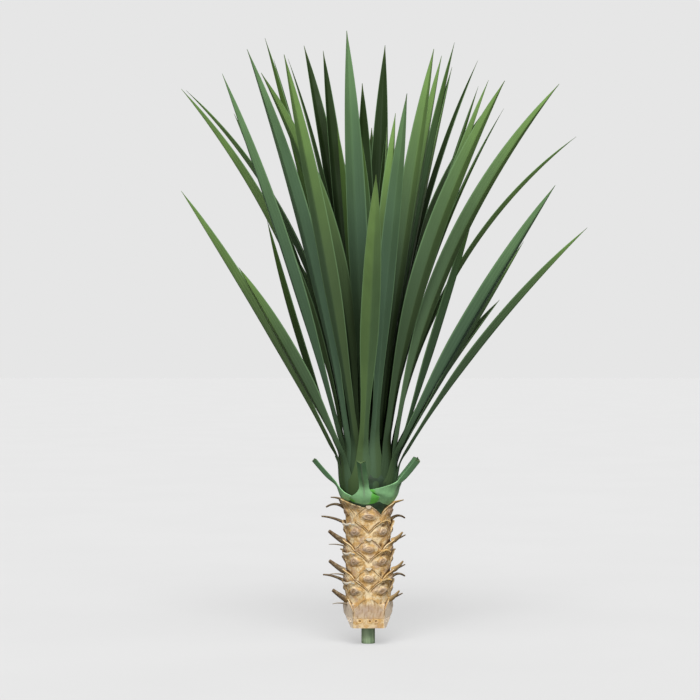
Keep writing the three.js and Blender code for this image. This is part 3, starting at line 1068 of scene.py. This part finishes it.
# Places across a leaf, closer together at the keel and the margins, then those of its outer face followed by those
# of its inner face, and which of these are inner
ACROSS = np.array([-1, -0.97, -0.9, -0.7, -0.45, -0.2, -0.08, 0, 0.08, 0.2, 0.45, 0.7, 0.9, 0.97, 1.0])
ROUND_LEAF = np.concatenate([ACROSS, ACROSS[::-1]])
INNER_FACE = np.arange(len(ROUND_LEAF)) >= len(ACROSS)


@dataclass
class Blade:
    """A leaf along its line: folded at the keel where it is free, bent round the axis where it clasps the heart.

    It bends with the heart where hug is 1, and more than the heart where hug is larger.
    """

    line: Array
    half_width: Array
    keel: Number
    wrap: Array
    thick: Number
    roll: Number = 0.0
    drift: Number = 0.0
    edge_share: float = 0.4
    keel_round: float = 0.12
    keel_level: float = 2 / 3
    hug: float = 1.0
    bent_least: float = 0.2

    def rings(self, turn: float) -> Array:
        """Gives the rings of its closed shell.

        Args:
            turn: Turn of the leaf, in radians.

        Returns:
            Points as rings by points of a ring by 3, the outer face first.
        """
        sizes = (self.half_width, self.keel, self.wrap, self.thick, self.roll, self.drift)
        half, keel, wrap, thick, roll, drift = (np.reshape(size, (-1, 1)) for size in sizes)
        side = half * ROUND_LEAF
        crest = math.hypot(1.0, self.keel_round) - self.keel_round
        fold = (np.hypot(ROUND_LEAF, self.keel_round) - self.keel_round) / crest
        radius = self.line[:, :1]
        round_axis = radius - np.sqrt(np.clip(radius**2 - side**2, (self.bent_least * radius) ** 2, None))
        thick = thick * mix(1.0, self.edge_share, np.abs(ROUND_LEAF))
        lift = mix(keel * (self.keel_level - fold), -self.hug * round_axis, wrap) - thick * INNER_FACE
        sideways = side * np.cos(roll) - lift * np.sin(roll) + drift
        outwards = side * np.sin(roll) + lift * np.cos(roll)
        way = directions(self.line)
        middle = place(turn, self.line[:, 0], self.line[:, 1])
        across = np.array([math.cos(turn), math.sin(turn), 0.0])
        outward = place(turn, way[:, 1], -way[:, 0])
        return middle[:, None] + sideways[..., None] * across + outwards[..., None] * outward[:, None]


@dataclass(frozen=True)
class CutLeaf:
    """A leaf that was cut short: its turn, the width of its sheath, the places along it between which it narrows
    to a stalk, and how far it lies over its neighbours.
    """

    turn: float
    sheath: float
    narrows_from: float
    stalk_from: float
    lift: float


@dataclass
class LeafHeart:
    """The heart: the core that the leaves clasp, with a whorl of leaves cut short round its foot.

    Its outline is in radius and rise, and the root, bend and end of a cut leaf are in radius and height. Raw spots
    are by turn and height.
    """

    bottom: float = 198.3
    outline: tuple[Pair, ...] = (
        (31, 0), (41, 17), (46, 32), (48, 45), (46, 57), (42, 72),
        (36, 86), (31, 101), (25, 114), (18, 125), (8, 134),
    )
    core_inset: float = 8.0
    core_tuck: float = 9.0
    core_rise: float = 110.0
    core_narrows: Pair = (4.0, 30.0)
    core_closes: float = 0.8
    core_closes_from: float = 0.5
    rows: int = 40
    columns: int = 90
    cut_leaves: tuple[CutLeaf, ...] = (
        CutLeaf(-80, 66, 0.2, 0.5, 1.0), CutLeaf(-8, 84, 0.05, 0.45, 2.0), CutLeaf(64, 98, 0.3, 0.56, 3.2),
        CutLeaf(116, 66, 0.2, 0.5, 1.2), CutLeaf(176, 80, 0.1, 0.5, 2.4), CutLeaf(-146, 70, 0.2, 0.5, 1.6),
    )
    cut_root: Pair = (22, 216)
    cut_bend: Pair = (46, 228)
    cut_end: Pair = (81, 271)
    cut_bend_reach: float = 8.0
    cut_rows: int = 60
    cut_sheath_rows: int = 40
    cut_width: float = 12.5
    cut_foot_share: float = 1.3
    cut_unwraps: Pair = (0.35, 0.7)
    cut_thick: float = 3.4
    cut_keel: float = 5.5
    cut_foot: float = 195.5
    cut_tuck: float = 5.0
    cut_tucked: Pair = (198.0, 216.0)
    cut_edge: float = 0.3
    cut_tone: float = 0.8
    ridge_width: float = 0.22
    ridge_comes: Pair = (0.1, 0.4)
    sheath_rises: Pair = (0.5, 1.0)
    raw_spots: tuple[Quad, ...] = ((13, 213, 9, 16), (-38, 208, 6, 5), (2, 203, 9, 5))

    @property
    def widest(self) -> float:
        """The heart's largest radius."""
        return max(radius for radius, _ in self.outline)

    def radius_at(self, height: Number) -> Number:
        """Gives the heart's radius at a height."""
        radii, rises = zip(*self.outline)
        return np.interp(np.asarray(height) - self.bottom, rises, radii)

    def join(self, curve: Array) -> int:
        """Gives the place on a leaf's curve, of radius and height, where it leaves the heart."""
        above = curve[:, 1] > self.bottom + self.outline[-1][1]
        return int(np.argmax(above | (curve[:, 0] > self.radius_at(curve[:, 1]))))

    def sheath(self, curve: Array, low: float, sink: float, rows: int) -> Array:
        """Leads a leaf's curve on down the heart's side.

        Args:
            curve: The leaf's line as radius and height, from where it leaves the heart.
            low: Height of the sheath's foot.
            sink: How far it lies under the heart's surface.
            rows: How many points it has.

        Returns:
            The sheath's line, from its foot up.
        """
        share = np.linspace(0, 1, rows, endpoint=False)
        height = mix(low, curve[0, 1], share)
        return np.stack([self.radius_at(height) - sink * fade(share, *self.sheath_rises), height], axis=1)

    def core(self, skin: Skin) -> None:
        """Adds the core, a little inside the sheaths that clasp it.

        Args:
            skin: The mesh that it goes in.
        """
        rise = mix(-self.core_tuck, self.core_rise, column(self.rows))
        radius = self.radius_at(self.bottom + rise) - self.core_inset * smoothstep(rise, *self.core_narrows)
        closing = smoothstep(rise, self.core_closes_from * self.core_rise, self.core_rise)
        radius = radius * (1 - self.core_closes * closing)
        rings = place(round_turns(self.columns), radius, self.bottom + rise)
        # The core is marked to be painted nearly black, as painted shade
        skin.loft(rings, along=rise / self.core_rise, ridge=0.0, cut=0.0, raw=0.0, deep=1.0)

    def cut_leaf(self, skin: Skin, leaf: CutLeaf) -> None:
        """Adds one leaf that was cut short: a clasping sheath that narrows to a stalk with a blunt end.

        Args:
            skin: The mesh that it goes in.
            leaf: Its sizes.
        """
        corners = [np.array(corner, float) for corner in (self.cut_root, self.cut_bend, self.cut_end)]
        curve = quadratic(*corners, np.linspace(0, 1, self.cut_rows))
        curve = curve[self.join(curve):]
        sheath = self.sheath(curve, self.cut_foot, -leaf.lift, self.cut_sheath_rows)
        sheath[:, 0] -= self.cut_tuck * fade(sheath[:, 1], *self.cut_tucked)
        line, _ = soften(np.concatenate([sheath, curve]), self.cut_bend_reach)
        along = np.linspace(0, 1, len(line))
        stalk = mix(self.cut_foot_share * self.cut_width, self.cut_width, along)
        narrow = smoothstep(along, leaf.narrows_from, leaf.stalk_from)
        clasp = leaf.sheath * line[:, 0] / self.widest
        half = mix(clasp, stalk, narrow) / 2
        wrap = fade(along, *self.cut_unwraps)
        blade = Blade(line, half, self.cut_keel, wrap, self.cut_thick, edge_share=self.cut_edge)
        ridge = hill(ROUND_LEAF, self.ridge_width) * smoothstep(along, *self.ridge_comes)[:, None]
        reached = leaf.turn + np.degrees(half[:, None] * ROUND_LEAF / line[:, :1])
        raw = spots(reached, line[:, 1:], self.raw_spots)
        cut = (along == 1)[:, None]
        rings = blade.rings(math.radians(leaf.turn))
        skin.loft(rings, along=self.cut_tone * along[:, None], ridge=ridge, cut=cut, raw=raw, deep=0.0)

    def build(self) -> None:
        """Builds the core and the cut leaves as one piece."""
        skin = Skin()
        self.core(skin)
        for leaf in self.cut_leaves:
            self.cut_leaf(skin, leaf)
        skin.piece("heart_core", HEART, "heart", "leaf_heart")


@dataclass(frozen=True)
class Leaf:
    """One leaf: its turn, how far its tip reaches and how high, and what sets it apart from the others.

    A leaf may have a bow, a seat, a roll and a width of its own, a foot that is shifted sideways by its drift, and
    light down to its foot.
    """

    turn: float
    reach: float
    top: float
    bow: float | None = None
    seat: float | None = None
    roll: float | None = None
    width: float | None = None
    drift: float = 0.0
    lit: bool = False
    tint: LeafTint = LeafTint.GREEN


# Leaves in the order of the solids: left, middle, right, then rear and inside
LEAVES = (
    Leaf(-84, 275, 664, bow=0.038, seat=0.95),
    Leaf(-53, 230, 548, bow=0.045, width=25),
    Leaf(-91, 276, 817, bow=0.15, seat=0.74),
    Leaf(-113, 301, 828, bow=0.21),
    Leaf(-72, 222, 830, bow=0.033, seat=0.8, tint=LeafTint.BLUE),
    Leaf(-134, 290, 802),
    Leaf(-44, 218, 820, bow=0.2, seat=0.56),
    Leaf(-53, 216, 857, bow=0.075, seat=0.8, lit=True, tint=LeafTint.BLUE),
    Leaf(-94, 153, 893, seat=0.45, tint=LeafTint.DARK),
    Leaf(-115, 156, 868, seat=0.25, tint=LeafTint.DARK),
    Leaf(-28, 250, 837, bow=0.05, seat=0.75, width=26),
    Leaf(-133, 166, 876, bow=0.105, seat=0.58, width=15),
    Leaf(-157, 255, 913, bow=0.1),
    Leaf(-153, 150, 891, bow=0.01, seat=0.2),
    Leaf(-104, 155, 625, bow=-0.03, seat=0.9, tint=LeafTint.DARK),
    Leaf(-13, 140, 882, tint=LeafTint.BLUE),
    Leaf(-162, 28, 828),
    Leaf(169, 142, 900, seat=0.36),
    Leaf(123, 34, 766, tint=LeafTint.FRESH),
    Leaf(60, 46, 778),
    Leaf(16, 190, 788, bow=0.06, seat=0.6, width=25, lit=True, tint=LeafTint.BLUE),
    Leaf(2, 246, 670, bow=0.08, width=27, drift=-10, lit=True, tint=LeafTint.FRESH),
    Leaf(40, 144, 860),
    Leaf(64, 118, 858),
    Leaf(94, 128, 886, seat=0.22, tint=LeafTint.DARK),
    Leaf(124, 154, 860, seat=0.25),
    Leaf(134, 238, 880, bow=0.105, width=18),
    Leaf(111, 178, 828, seat=0.38, tint=LeafTint.DARK),
    Leaf(87, 177, 828, bow=0.05),
    Leaf(145, 318, 806, bow=0.17, seat=0.75),
    Leaf(52, 242, 810, bow=0.13, seat=0.7, roll=35),
    Leaf(114, 226, 798, bow=0.11, seat=0.65, width=17, tint=LeafTint.DARK),
    Leaf(74, 285, 814, bow=0.16, seat=0.95, roll=45, width=27, lit=True),
    Leaf(111, 342, 758, bow=0.21, width=24),
    Leaf(95, 162, 654, bow=0.0, seat=0.95, tint=LeafTint.DARK),
    Leaf(60, 302, 663, bow=0.04, roll=22, width=27, tint=LeafTint.BLUE),
    Leaf(121, 281, 599, bow=0.02),
    Leaf(133, 283, 510),
    Leaf(84, 321, 610, bow=0.075, width=24),
    Leaf(-178, 262, 690),
    Leaf(-158, 284, 640),
    Leaf(158, 290, 620, tint=LeafTint.BLUE),
    Leaf(-147, 195, 570),
    Leaf(178, 206, 780),
    Leaf(156, 205, 800),
    Leaf(-12, 50, 740, tint=LeafTint.DARK),
    Leaf(-84, 46, 760, tint=LeafTint.DARK),
    Leaf(170, 290, 540),
    Leaf(-171, 238, 735, tint=LeafTint.FRESH),
)


@dataclass
class Crown:
    """The crown: every leaf in its own mesh, by the rule that the solids follow, with a sheath down the heart.

    A pair holds the size for the innermost and for the outermost leaf, or the places between which something comes
    or goes.
    """

    heart: LeafHeart
    width: float = 29.0
    foot_share: float = 0.42
    swell_from: float = 0.1
    widest: float = 0.48
    taper_power: float = 2.5
    tip_width: float = 0.8
    keel_share: float = 0.3
    keel_spare: float = 2.0
    thick: float = 1.5
    thin_from: float = 9.0
    roll_most: float = 20.0
    rolled_by: float = 0.4
    twist: float = 4.0
    twists: Pair = (0.3, 1.0)
    lean_centre: float = 225.0
    lean_most: float = 38.0
    seat_radius: Pair = (4.0, 38.0)
    seat_height: Pair = (330.0, 252.0)
    bow: Pair = (0.02, 0.07)
    flare: Pair = (3.0, 7.5)
    flare_length: float = 27.0
    wrap_length: float = 30.0
    clasping_seats: Pair = (0.3, 0.6)
    sheath_width: float = 42.0
    sheath_hug: float = 1.8
    sheath_foot: float = 210.0
    sheath_round: float = 0.12
    sheath_end: float = 0.3
    sheath_share: float = 0.1
    sink: Pair = (12.0, 3.0)
    sink_sway: float = 1.0
    margin_by: float = 0.25
    shaded_seats: Pair = (0.45, 1.0)
    shaded_part: Pair = (0.25, 0.75)
    shaded_inside: Pair = (0.5, 0.96)
    inner_shade: float = 0.45
    # Where the painted shade on one half comes in, across the leaf and along it
    half_shade_edge: Pair = (-0.3, 0.3)
    half_shade_part: Pair = (0.7, 1.0)
    bend_reach: float = 18.0
    curve_rows: int = 300
    sheath_rows: int = 40
    foot_rows: int = 30
    blade_rows: int = 52

    def curve(self, leaf: Leaf, outer: float, share: Array) -> Array:
        """Gives the line of a leaf as radius and height.

        Args:
            leaf: The leaf.
            outer: How far out it sits, from 0 in the middle to 1 at the rim.
            share: Places along it, from 0 to 1.

        Returns:
            One row of radius and height for each place.
        """
        seat = np.array([mix(*self.seat_radius, math.sqrt(outer)), mix(*self.seat_height, outer)])
        tip = np.array([leaf.reach, leaf.top], float)
        chord = tip - seat
        sag = mix(*self.bow, outer) if leaf.bow is None else leaf.bow
        bend = (seat + tip) / 2 + sag * np.array([-chord[1], chord[0]])
        return quadratic(seat, bend, tip, share)

    def blade_share(self, share: Array) -> Array:
        """Gives the width of a blade along it.

        Args:
            share: Places along it, from 0 to 1.

        Returns:
            Its width there, as a share of the full width.
        """
        swell = mix(self.foot_share, 1.0, smoothstep(share, self.swell_from, self.widest))
        past = np.clip((share - self.widest) / (1 - self.widest), 0.0, 1.0)
        return swell * (1 - past**self.taper_power)

    def line(self, leaf: Leaf, outer: float, sway: float) -> tuple[Array, Array, Array]:
        """Leads a leaf up its sheath and along its curve.

        Args:
            leaf: The leaf.
            outer: How far out it sits, from 0 to 1.
            sway: A small difference of its own, from -1 to 1.

        Returns:
            Its line as radius and height, the share of the curve at each point, and how far past the heart it is.
        """
        fine = np.linspace(0, 1, self.curve_rows)
        curve = self.curve(leaf, outer, fine)
        join = self.heart.join(curve)
        sink = mix(*self.sink, outer) + self.sink_sway * sway
        sheath = self.heart.sheath(curve[join:], self.sheath_foot, sink, self.sheath_rows)
        inside = mix(curve[0], curve[join], np.linspace(0, 1, self.sheath_rows, endpoint=False)[:, None])
        clasp = smoothstep(outer, *self.clasping_seats)
        path = np.concatenate([mix(inside, sheath, clasp), curve[join:]])
        shares = np.concatenate([np.full(self.sheath_rows, fine[join]), fine[join:]])
        smooth, even = soften(path, self.bend_reach)
        climb = climbs(path)
        leaves_heart = climb[self.sheath_rows]
        free_from = leaves_heart + self.wrap_length
        foot = np.linspace(0, free_from, self.foot_rows, endpoint=False)
        stations = np.concatenate([foot, np.linspace(free_from, even[-1], self.blade_rows)])
        return pick(smooth, even, stations), np.interp(stations, climb, shares), stations - leaves_heart

    def marks(self, leaf: Leaf, outer: float, along: Array, shade_side: int) -> dict[str, Array]:
        """Gives what tells the finish where it is on a leaf.

        Args:
            leaf: The leaf.
            outer: How far out it sits, from 0 to 1.
            along: Places along it, as one column.
            shade_side: Which half gets painted shade, bluer and darker: -1 for the left one, 1 for the right one.

        Returns:
            The marks by their names.
        """
        # Painted shade: darker low down on the leaves inside the crown, and darker still on every inner face
        inside = fade(outer, *self.shaded_seats)
        shade = inside * (not leaf.lit) * fade(along, *self.shaded_part)
        within = mix(self.inner_shade, 1.0, inside) * fade(along, *self.shaded_inside)
        return {
            "along": along,
            "across": ROUND_LEAF,
            "margin": np.abs(ROUND_LEAF) * smoothstep(along, self.sheath_share, self.margin_by),
            "inner": INNER_FACE,
            "shade": np.where(INNER_FACE, within, shade),
            "cool": smoothstep(shade_side * ROUND_LEAF, *self.half_shade_edge) * fade(along, *self.half_shade_part),
        }

    def leaf(self, leaf: Leaf, node: str, sway: float, shade_side: int) -> None:
        """Builds and dresses one leaf.

        Args:
            leaf: Its row.
            node: The solid that it stands for.
            sway: A small difference of its own, from -1 to 1.
            shade_side: Which half gets painted shade, bluer and darker: -1 for the left one, 1 for the right one.
        """
        lean = math.degrees(math.atan2(leaf.reach, leaf.top - self.lean_centre))
        outer = min(lean / self.lean_most, 1.0) if leaf.seat is None else leaf.seat
        line, share, climb = self.line(leaf, outer, sway)
        sheathed = np.clip(1 - climb / climb[0], 0, 1)
        plain = np.maximum((leaf.width or self.width) * self.blade_share(share), self.tip_width)
        flare = mix(*self.flare, outer) * np.exp(-climb / self.flare_length)
        blade = np.minimum(plain + flare, self.sheath_width)
        rounded = np.sqrt(1 - (1 - np.clip(sheathed / self.sheath_round, self.sheath_end, 1)) ** 2)
        roll = self.roll_most * math.sin(math.radians(leaf.turn)) if leaf.roll is None else leaf.roll
        roll = roll * smoothstep(share, 0.0, self.rolled_by) + self.twist * sway * smoothstep(share, *self.twists)
        shape = Blade(
            line, blade * rounded / 2,
            keel=self.keel_share * np.minimum(blade, plain + self.keel_spare),
            wrap=fade(climb, 0.0, self.wrap_length),
            thick=self.thick * np.minimum(1.0, blade / self.thin_from),
            roll=np.radians(roll), drift=leaf.drift * (1 - share) ** 2, hug=self.sheath_hug,
        )
        along = np.where(climb < 0, self.sheath_share * sheathed, mix(self.sheath_share, 1.0, share))[:, None]
        skin = Skin()
        skin.loft(shape.rings(math.radians(leaf.turn)), **self.marks(leaf, outer, along, shade_side))
        skin.piece(f"{node}_blade", leaf_finish(leaf.tint), "leaf", node)

    def build(self) -> None:
        """Builds the leaves in the order of the solids."""
        draws = np.random.default_rng(SEED)
        for number, leaf in enumerate(LEAVES, start=1):
            self.leaf(leaf, f"leaf_{number:02d}", draws.uniform(-1, 1), -1 if number % 2 else 1)


# Studio

@dataclass(frozen=True)
class Softbox:
    """A broad light far off: how far it leans to the front from overhead, its strength and how wide it looks."""

    name: str
    tilt: float
    strength: float
    angle: float


@dataclass
class Studio:
    """The floor, the light and the camera, which stands level in front of the plant as in the photograph.

    The floor's size and the camera's place are in metres.
    """

    floor_size: float = 60.0
    sky_colour: str = "e6e6e6"
    lights: tuple[Softbox, ...] = (
        Softbox("studio_key", 40, 3.6, 40),
        Softbox("studio_fill", 72, 1.9, 140),
        Softbox("studio_dome", 0, 0.8, 170),
        Softbox("studio_back", -65, 1.1, 90),
    )
    camera_place: Triple = (-0.0268, -3.2, 0.4316)
    lens: float = 111.7
    sensor: float = 36.0

    def floor(self) -> None:
        """Lays the acrylic floor."""
        mesh = bpy.data.meshes.new("studio_floor")
        half = self.floor_size / 2
        corners = [(-half, -half, 0), (half, -half, 0), (half, half, 0), (-half, half, 0)]
        mesh.from_pydata(corners, [], [(0, 1, 2, 3)])
        mesh.materials.append(ACRYLIC.material())
        floor = add_object("studio_floor", mesh)
        floor.visible_diffuse = False
        floor.visible_glossy = False

    def sky(self) -> None:
        """Sets an even sky behind the plant, as pale as the floor and without any light of its own."""
        world = bpy.data.worlds.new("studio_sky")
        world.use_nodes = True
        world.node_tree.nodes["Background"].inputs["Color"].default_value = linear(self.sky_colour)
        world.cycles_visibility.diffuse = False
        world.cycles_visibility.glossy = False
        bpy.context.scene.world = world

    def softboxes(self) -> None:
        """Adds the lights."""
        for box in self.lights:
            lamp = bpy.data.lights.new(box.name, "SUN")
            lamp.energy = box.strength
            lamp.angle = math.radians(box.angle)
            add_object(box.name, lamp).rotation_euler = (math.radians(box.tilt), 0, 0)

    def camera(self) -> None:
        """Sets the camera level, looking along +Y."""
        lens = bpy.data.cameras.new("studio_camera")
        lens.lens = self.lens
        lens.sensor_width = self.sensor
        camera = add_object("studio_camera", lens)
        camera.location = self.camera_place
        camera.rotation_euler = (math.pi / 2, 0, 0)
        bpy.context.scene.camera = camera

    def build(self) -> None:
        """Builds the studio."""
        self.floor()
        self.sky()
        self.softboxes()
        self.camera()
        bpy.context.scene.view_settings.view_transform = "Standard"


def main() -> None:
    """Builds the plant from the ground up, then the studio round it."""
    logging.basicConfig(level=logging.INFO, format="%(name)s %(message)s")
    trunk = ScalyTrunk()
    heart = LeafHeart()
    for assembly in (PlantingPost(), TrunkFoot(trunk), trunk, heart, Crown(heart), Studio()):
        assembly.build()


if __name__ == "__main__":
    main()
